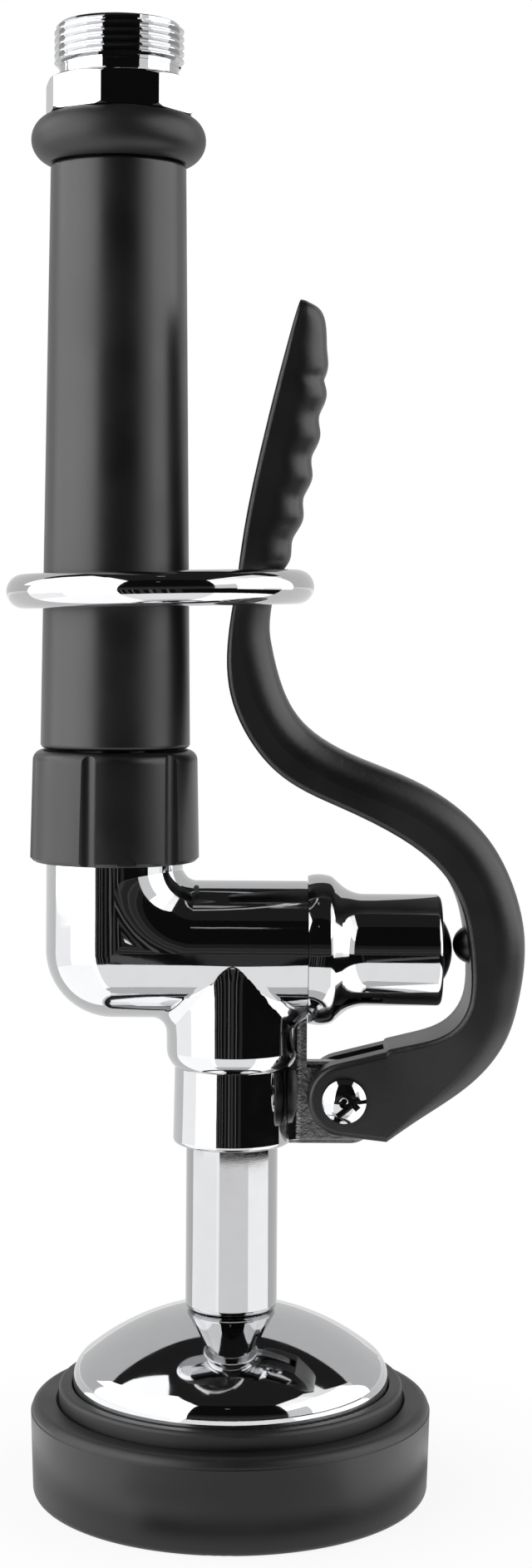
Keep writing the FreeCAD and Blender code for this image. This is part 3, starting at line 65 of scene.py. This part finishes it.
# Plastic and rubber: darkest and lightest colour, roughness, the grain's size and depth,
# and shine.
BLACK = ((0.003, 0.003, 0.0032), (0.006, 0.006, 0.0062))
DEEP_BLACK = ((0.002, 0.002, 0.0022), (0.004, 0.004, 0.0042))
PLASTICS = {
    "grip_coat": (*DEEP_BLACK, 0.36, 0.0006, 0.00001, 0.65),
    "nut_plastic": (*BLACK, 0.34, 0.0004, 0.00001, 0.55),
    "lever_plastic": (*BLACK, 0.38, 0.0005, 0.00002, 0.55),
    "bumper_rubber_skin": (*DEEP_BLACK, 0.44, 0.0007, 0.00003, 0.5),
    "seal_rubber_skin": ((0.012, 0.012, 0.012), (0.02, 0.02, 0.02), 0.7, 0.0007, 0.00004, 0.5),
    "bush_skin": ((0.45, 0.44, 0.40), (0.55, 0.54, 0.5), 0.45, 0.0007, 0.00002, 0.5),
}
CLOUD_NOISE = (0.02, 4.0)
CLOUD_SPAN = (0.3, 0.7)
ROUGHNESS_SPREAD = 0.05
GRAIN_DETAIL = 2.0
GRAIN_STRENGTH = 0.6

LOOK_OF_SLOT = {
    "chrome_body": "chrome_plate",
    "screw_steel": "chrome_plate",
    "ring_steel": "polished_wire",
    "steel": "steel_plain",
    "brass_inside": "brass_plain",
    "grip_black": "grip_coat",
    "nut_black": "nut_plastic",
    "pad_black": "nut_plastic",
    "lever_black": "lever_plastic",
    "bumper_rubber": "bumper_rubber_skin",
    "collar_rubber": "bumper_rubber_skin",
    "seal_rubber": "seal_rubber_skin",
    "bush_plastic": "bush_skin",
}
LOOK_OF_PIECE = {"nozzle_tube": "nickel_tube", "valve_body": "chrome_casting"}

WHITE = (1, 1, 1, 1)
WORLD_LEVEL = 0.25
FLOOR_COLOUR = (0.82, 0.82, 0.82, 1)
FLOOR_ROUGHNESS = 0.9
FLOOR_SHINE = 0.1
FLOOR_SIZE = 12.0
# The floor's own glow grows from one share to another between two distances.
FLOOR_GLOW_SPAN = (0.04, 0.10)
FLOOR_GLOW = (0.9, 1.0)

# The studio around the object: softboxes to both sides, black cloth in front, overhead and
# on the table, and a pale backdrop. Directions are degrees round from the camera's side,
# +X positive.
SOFTBOX_REACH = 0.95
# Each softbox: side, from, to, its lower and upper edge, and radiance.
SOFTBOXES = {
    "left_softbox_low": (-1, -112.0, -82.0, 0.0, 0.5, 1.45),
    "left_softbox_high": (-1, -124.0, -82.0, 0.5, 2.2, 1.8),
    "left_key": (-1, -82.0, -30.0, 0.0, 2.3, 2.1),
    "right_key_high": (1, 42.0, 60.0, 0.6, 1.6, 1.7),
    "right_key": (1, 60.0, 84.0, 0.0, 1.6, 1.6),
    "right_softbox": (1, 84.0, 118.0, 0.0, 1.6, 1.3),
}
CLOTH_RADIANCE = 0.006
FRONT_SPAN = (-30.0, 42.0)
FRONT_WALL = 1.6
CEILING = 2.4
CEILING_REACH = 2.3
CEILING_RADIANCE = 0.02
BACKDROP_PLACE = 1.9
BACKDROP_START = 0.12
BACKDROP_REACH = 4.2
BACKDROP_RADIANCE = 0.72

# The table as chrome shows it, in sectors around the bumper's foot: black cloth, its lit folds
# a step above it, and the lit parts on top, each a step below the one before. Folds and lit
# parts are painted light: sheets that glow where light falls on the table.
TABLE_START = 0.046
TABLE_EDGE = 0.30
TABLE_REACH = 2.56
CLOTH_LEVEL = 0.001
TOP_LEVEL = 0.007
LEVEL_STEP = 0.0005
SECTOR_STEP = 6
TABLE_BLACK = (-30.0, 105.0)
# The lit parts, painted light: from, to, how far out and radiance. The dim part at the bumper's
# foot is painted shadow, where the bumper shades the table.
TABLE_PARTS = {
    "table_foot_shadow": (-37.0, 42.0, 0.072, 0.75),
    "table_back": (104.0, 248.0, 1.9, 0.85),
    "table_left": (-112.0, -37.0, TABLE_EDGE, 1.75),
    "table_left_side": (-112.0, -75.0, 1.9, 1.5),
    "table_left_far": (-75.0, -30.0, 1.9, 1.9),
    "table_front": (-37.0, 42.0, TABLE_EDGE, 1.3),
    "table_right": (42.0, 104.0, TABLE_EDGE, 1.9),
}
# Faint lines on the cloths, painted light: glowing strips where tubes and folds catch the
# light, seen in chrome as thin streaks. On the table: from, to, radiance.
TABLE_LIT_FOLDS = (
    (-27.5, -27.0, 0.25), (-24.0, -22.0, 0.07), (-19.0, -18.3, 0.2), (-14.0, -11.0, 0.05),
    (-7.0, -4.5, 0.12), (-2.0, 2.0, 0.05), (6.0, 7.5, 0.14), (12.0, 17.0, 0.03),
)
# On the front cloth: its lower and upper edge and radiance.
FRONT_LIT_FOLDS = (
    (0.0, 0.04, 0.07), (0.04, 0.14, 0.03), (0.14, 0.17, 0.08), (0.17, 0.30, 0.04),
    (0.30, 0.33, 0.06), (0.33, 0.52, 0.02),
)
FOLD_AHEAD = 0.01
# Two small dim panes: left, right, low and high on the front cloth, and left, right, front
# and back overhead.
FRONT_GLINT = (-0.082, 0.013, 1.50, 1.60)
TOP_GLINT = (-0.104, 0.030, -0.42, -0.26)
GLINT_RADIANCE = 0.4


def make_camera():
    data = bpy.data.cameras.new("camera")
    data.sensor_width = SENSOR_WIDTH_MM
    data.lens = CAMERA_FOCAL_PX * data.sensor_width / FRAME_HEIGHT_PX
    data.shift_x = ROLL_OFFSET_PX / FRAME_HEIGHT_PX
    data.shift_y = -HORIZON_ABOVE_CENTRE_PX / FRAME_HEIGHT_PX
    data.clip_start = CAMERA_NEAR
    camera = bpy.data.objects.new("camera", data)
    camera.location = CAMERA_PLACE
    camera.rotation_euler = (math.radians(90), CAMERA_ROLL_RAD, 0)
    bpy.context.scene.collection.objects.link(camera)
    bpy.context.scene.camera = camera


class Shader:
    """A material's node tree, with short calls to add and join nodes."""

    def __init__(self, name):
        self.material = bpy.data.materials.new(name)
        self.material.use_nodes = True
        self.tree = self.material.node_tree
        self.surface = self.tree.nodes["Principled BSDF"]
        self.output = self.tree.nodes["Material Output"]

    def add(self, kind, **settings):
        """A new node. A setting named as a socket is held by it, any other by the node."""
        made = self.tree.nodes.new(kind)
        for key, value in settings.items():
            if key in made.inputs:
                made.inputs[key].default_value = value
            else:
                setattr(made, key, value)
        return made

    def join(self, source, target):
        self.tree.links.new(source, target)

    def hold(self, socket, value):
        """Sets a socket of the surface to a constant."""
        self.surface.inputs[socket].default_value = value

    def feed(self, source, socket):
        """Joins an output to a socket of the surface."""
        self.join(source, self.surface.inputs[socket])

    def held(self, socket):
        """What feeds a socket of the surface."""
        return self.surface.inputs[socket].links[0].from_socket

    def place(self, scale=(1, 1, 1)):
        """Positions in the object's own frame, in metres times scale."""
        coordinates = self.add("ShaderNodeTexCoord")
        mapping = self.add("ShaderNodeMapping", Scale=scale)
        self.join(coordinates.outputs["Object"], mapping.inputs["Vector"])
        return mapping.outputs["Vector"]

    def noise(self, vector, size, detail, roughness=0.5):
        """Noise with lumps of about a size in metres, from 0 to 1."""
        made = self.add("ShaderNodeTexNoise", Scale=1.0 / size, Detail=detail,
                        Roughness=roughness)
        self.join(vector, made.inputs["Vector"])
        return made.outputs["Fac"]

    def ramp(self, value, low, high, start, end):
        """A value between two limits, mapped onto start and end."""
        made = self.add("ShaderNodeMapRange")
        made.inputs["From Min"].default_value = low
        made.inputs["From Max"].default_value = high
        made.inputs["To Min"].default_value = start
        made.inputs["To Max"].default_value = end
        self.join(value, made.inputs["Value"])
        return made.outputs["Result"]

    def product(self, first, second):
        """Two values times each other."""
        made = self.add("ShaderNodeMath", operation="MULTIPLY")
        self.join(first, made.inputs[0])
        self.join(second, made.inputs[1])
        return made.outputs["Value"]

    def colour(self, value, first, second):
        """A colour between two, by a value from 0 to 1."""
        made = self.add("ShaderNodeMix", data_type="RGBA")
        made.inputs["A"].default_value = (*first, 1)
        made.inputs["B"].default_value = (*second, 1)
        self.join(value, made.inputs["Factor"])
        return made.outputs["Result"]

    def bump(self, height, strength, distance, after=None):
        """A normal that follows a height, on top of the bumps of another if given."""
        made = self.add("ShaderNodeBump", Strength=strength, Distance=distance)
        self.join(height, made.inputs["Height"])
        if after is not None:
            self.join(after, made.inputs["Normal"])
        return made.outputs["Normal"]


def chrome(name, tint, wave, wave_size):
    """Polished plating: slow unevenness of the casting, faint smears and fine scratches."""
    m = Shader(name)
    where = m.place()
    slow = m.noise(where, wave_size, WAVE_DETAIL)
    smear = m.noise(where, *SMEAR_NOISE)
    scratch = m.noise(m.place(SCRATCH_SQUASH), *SCRATCH_NOISE)
    m.hold("Metallic", 1.0)
    m.feed(m.colour(smear, tint, [c * SMEAR_SHADE for c in tint]), "Base Color")
    m.feed(m.ramp(smear, *SMEAR_SPAN, *CHROME_ROUGHNESS), "Roughness")
    waves = m.bump(slow, 1.0, wave)
    m.feed(m.bump(scratch, SCRATCH_STRENGTH, SCRATCH_DEPTH, waves), "Normal")
    return m


def rough_web(m):
    """Leaves the casting unpolished around its web and lug, behind a polisher's reach."""
    where = m.place()
    parts = m.add("ShaderNodeSeparateXYZ")
    m.join(where, parts.inputs["Vector"])
    beside = m.ramp(parts.outputs["X"], WEB_START, WEB_START + WEB_FADE, 0, 1)
    below = m.ramp(parts.outputs["Z"], WEB_TOP - WEB_FADE, WEB_TOP, 1, 0)
    share = m.product(beside, below)
    sand = m.noise(where, *WEB_NOISE)
    grit = m.add("ShaderNodeBump", Distance=WEB_GRIT)
    m.join(share, grit.inputs["Strength"])
    m.join(sand, grit.inputs["Height"])
    m.join(m.held("Normal"), grit.inputs["Normal"])
    m.feed(grit.outputs["Normal"], "Normal")
    for socket, kind, value in (("Roughness", "FLOAT", WEB_ROUGHNESS),
                                ("Base Color", "RGBA", WEB_TINT)):
        mixed = m.add("ShaderNodeMix", data_type=kind)
        m.join(share, mixed.inputs["Factor"])
        m.join(m.held(socket), mixed.inputs["A"])
        mixed.inputs["B"].default_value = value
        m.feed(mixed.outputs["Result"], socket)


def plastic(name, dark, light, rough, grain, depth, shine):
    """Moulded plastic or rubber: fine grain, cloudy colour and a worn sheen."""
    m = Shader(name)
    where = m.place()
    cloud = m.noise(where, *CLOUD_NOISE)
    fine = m.noise(where, grain, GRAIN_DETAIL)
    m.feed(m.colour(m.ramp(cloud, *CLOUD_SPAN, 0, 1), dark, light), "Base Color")
    m.feed(m.ramp(cloud, *CLOUD_SPAN, rough - ROUGHNESS_SPREAD, rough + ROUGHNESS_SPREAD),
           "Roughness")
    m.feed(m.bump(fine, GRAIN_STRENGTH, depth), "Normal")
    m.hold("Specular IOR Level", shine)
    return m


def finish_nodes():
    looks = {name: chrome(name, *settings) for name, settings in CHROMES.items()}
    rough_web(looks["chrome_casting"])
    looks.update({name: plastic(name, *settings) for name, settings in PLASTICS.items()})
    for piece in nodes.values():
        for slot in piece.material_slots:
            slot.material = looks[LOOK_OF_SLOT[slot.material.name]].material
    for name, look in LOOK_OF_PIECE.items():
        nodes[name].material_slots[0].material = looks[look].material


def ray_seen(tree):
    """1 for a ray from the camera, a mirror or glass, and 0 for other light."""
    path = tree.nodes.new("ShaderNodeLightPath")
    total = path.outputs["Is Camera Ray"]
    for kind in ("Is Glossy Ray", "Is Transmission Ray"):
        either = tree.nodes.new("ShaderNodeMath")
        either.operation = "MAXIMUM"
        tree.links.new(total, either.inputs[0])
        tree.links.new(path.outputs[kind], either.inputs[1])
        total = either.outputs[0]
    return total


def floor_material():
    """Pale paper that holds the shadow near the object and turns white further out."""
    m = Shader("floor_paper")
    m.hold("Base Color", FLOOR_COLOUR)
    m.hold("Roughness", FLOOR_ROUGHNESS)
    m.hold("Specular IOR Level", FLOOR_SHINE)
    glow = m.add("ShaderNodeEmission", Color=WHITE)
    coordinates = m.add("ShaderNodeTexCoord")
    away = m.add("ShaderNodeVectorMath", operation="LENGTH")
    m.join(coordinates.outputs["Object"], away.inputs[0])
    share = m.ramp(away.outputs["Value"], *FLOOR_GLOW_SPAN, *FLOOR_GLOW)
    mixed = m.add("ShaderNodeMixShader")
    m.join(m.product(share, ray_seen(m.tree)), mixed.inputs["Fac"])
    m.join(m.surface.outputs["BSDF"], mixed.inputs[1])
    m.join(glow.outputs["Emission"], mixed.inputs[2])
    m.join(mixed.outputs["Shader"], m.output.inputs["Surface"])
    return m.material


def card_material(name, radiance):
    """A surface that only shines, at a plain level."""
    m = Shader(name)
    glow = m.add("ShaderNodeEmission", Color=WHITE, Strength=radiance)
    m.join(glow.outputs["Emission"], m.output.inputs["Surface"])
    return m.material


def stage_sheet(name, corners, material):
    """A flat sheet of the studio, given by its corners."""
    mesh = bpy.data.meshes.new(name)
    mesh.from_pydata(corners, [], [tuple(range(len(corners)))])
    mesh.materials.append(material)
    made = bpy.data.objects.new(name, mesh)
    bpy.context.scene.collection.objects.link(made)
    return made


def mirror_card(name, corners, radiance):
    """A card that only shiny surfaces see, so it neither lights nor shades the object."""
    card = stage_sheet(name, corners, card_material(name, radiance))
    card.visible_camera = False
    card.visible_diffuse = False
    card.visible_shadow = False


def upright(left, right, low, high, place):
    """Corners of a sheet that stands across the camera's view, at a place along Y."""
    return [(left, place, low), (right, place, low), (right, place, high), (left, place, high)]


def level(left, right, front, back, height):
    """Corners of a sheet that lies level."""
    return [(left, front, height), (right, front, height), (right, back, height),
            (left, back, height)]


def around(turn, reach, height):
    """A point at a direction and distance from the nozzle's axis."""
    angle = math.radians(turn)
    return (math.sin(angle) * reach, -math.cos(angle) * reach, height)


def table_sector(name, start, end, near, far, radiance, height):
    """A part of the table between two directions and two distances."""
    count = max(2, math.ceil((end - start) / SECTOR_STEP))
    turns = [start + (end - start) * i / count for i in range(count + 1)]
    corners = [around(turn, near, height) for turn in turns]
    corners += [around(turn, far, height) for turn in reversed(turns)]
    mirror_card(name, corners, radiance)


def front_card(name, low, high, ahead, radiance):
    """A card on the front cloth's whole width, a little ahead of its wall."""
    wall = FRONT_WALL - ahead
    left, right = (math.tan(math.radians(turn)) * wall for turn in FRONT_SPAN)
    mirror_card(name, upright(left, right, low, high, -wall), radiance)


def make_cards():
    table_sector("table_cloth", *TABLE_BLACK, TABLE_START, TABLE_REACH, CLOTH_RADIANCE,
                 CLOTH_LEVEL)
    # Painted light: thin glowing fold lines on the table cloth.
    for i, (start, end, radiance) in enumerate(TABLE_LIT_FOLDS):
        table_sector(f"table_lit_fold_{i}", start, end, TABLE_EDGE, TABLE_REACH, radiance,
                     CLOTH_LEVEL + LEVEL_STEP)
    # Painted light in glowing table sectors, and painted shadow in the dim one at the bumper's
    # foot.
    for i, (name, (start, end, far, radiance)) in enumerate(TABLE_PARTS.items()):
        table_sector(name, start, end, TABLE_START, far, radiance, TOP_LEVEL - LEVEL_STEP * i)
    front_card("front_cloth", 0, CEILING, 0, CLOTH_RADIANCE)
    # Painted light: thin glowing fold lines on the front cloth.
    for i, (low, high, radiance) in enumerate(FRONT_LIT_FOLDS):
        front_card(f"front_lit_fold_{i}", low, high, FOLD_AHEAD, radiance)
    reach = CEILING_REACH
    mirror_card("ceiling_cloth", level(-reach, reach, -reach, reach, CEILING), CEILING_RADIANCE)
    reach = BACKDROP_REACH
    mirror_card("backdrop", upright(-reach, reach, BACKDROP_START, CEILING, BACKDROP_PLACE),
                BACKDROP_RADIANCE)
    mirror_card("glint_front", upright(*FRONT_GLINT, FOLD_AHEAD - FRONT_WALL), GLINT_RADIANCE)
    mirror_card("glint_top", level(*TOP_GLINT, CEILING - FOLD_AHEAD), GLINT_RADIANCE)


def softbox(name, side, start, end, low, high, radiance):
    """An upright lamp to one side, from one direction round to another."""
    ends = [-side * SOFTBOX_REACH / math.tan(math.radians(turn)) for turn in (start, end)]
    width, height = abs(ends[1] - ends[0]), high - low
    data = bpy.data.lights.new(name, "AREA")
    data.shape = "RECTANGLE"
    data.size, data.size_y = width, height
    data.energy = radiance * math.pi * width * height
    lamp = bpy.data.objects.new(name, data)
    lamp.location = (side * SOFTBOX_REACH, sum(ends) / 2, (low + high) / 2)
    lamp.rotation_euler = (math.radians(90), 0, math.radians(90 * side))
    lamp.visible_camera = False
    bpy.context.scene.collection.objects.link(lamp)


def make_world():
    """White where it is seen, itself or in a mirror, and dimmer where it only lights."""
    world = bpy.data.worlds.new("studio")
    bpy.context.scene.world = world
    world.use_nodes = True
    tree = world.node_tree
    background = tree.nodes["Background"]
    background.inputs["Color"].default_value = WHITE
    strength = tree.nodes.new("ShaderNodeMapRange")
    strength.inputs["To Min"].default_value = WORLD_LEVEL
    strength.inputs["To Max"].default_value = 1.0
    tree.links.new(ray_seen(tree), strength.inputs["Value"])
    tree.links.new(strength.outputs["Result"], background.inputs["Strength"])


def make_stage():
    half = FLOOR_SIZE / 2
    stage_sheet("floor", level(-half, half, -half, half, 0), floor_material())
    make_cards()
    for name, settings in SOFTBOXES.items():
        softbox(name, *settings)
    make_world()


make_camera()
finish_nodes()
make_stage()
bpy.context.scene.view_settings.view_transform = "Standard"
